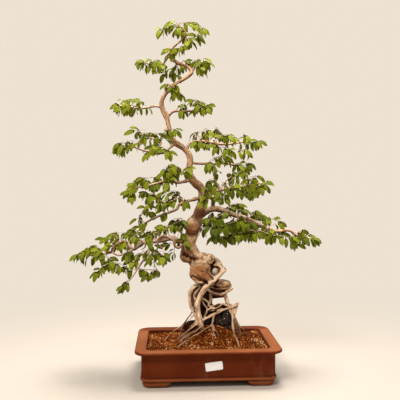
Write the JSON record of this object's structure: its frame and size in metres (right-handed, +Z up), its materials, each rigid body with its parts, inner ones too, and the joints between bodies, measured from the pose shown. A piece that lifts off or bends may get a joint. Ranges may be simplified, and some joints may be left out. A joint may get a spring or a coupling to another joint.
{
  "type": "bonsai tree in a pot",
  "caption": "Small deciduous bonsai with a curved, tiered trunk standing on bare raised roots over a mound of granular soil in a rectangular footed clay pot.",
  "frame": {"origin": "middle of the whole part's box, at the bottom, on the plane that the pot's feet stand on", "axes": "+Z up along the tree, +X to the right of the tree's front, +Y from the front to the back"},
  "size_m": [0.5588, 0.204, 0.7543],
  "materials": {
    "clay": "unglazed red-brown clay, smooth wall and paler rim",
    "mesh_plastic": "black mesh",
    "earth": "damp orange-brown granules of 1 to 4 mm",
    "bark": "tan bark with darker hollows",
    "foliage": "satin toothed leaves on thin twigs",
    "pale_stone": "dull",
    "dark_stone": "wet gloss",
    "paper": "blank sticker"
  },
  "bodies": {
    "root": {"pot": "clay", "drain_screen_left": "mesh_plastic", "drain_screen_right": "mesh_plastic", "soil": "earth", "trunk_and_roots": "bark", "pebble": "pale_stone", "root_stone": "dark_stone", "label": "paper", "apex_branch": "foliage", "left_1_branch": "foliage", "middle_1_branch": "foliage", "right_1_branch": "foliage", "middle_2_branch": "foliage", "left_2_branch": "foliage", "right_2_branch": "foliage", "left_3_branch": "foliage", "right_3_branch": "foliage", "right_4_branch": "foliage", "left_4_branch": "foliage", "right_5_branch": "foliage", "left_5_branch": "foliage", "left_low_branch": "foliage", "right_low_branch": "foliage"}
  },
  "joints": []
}
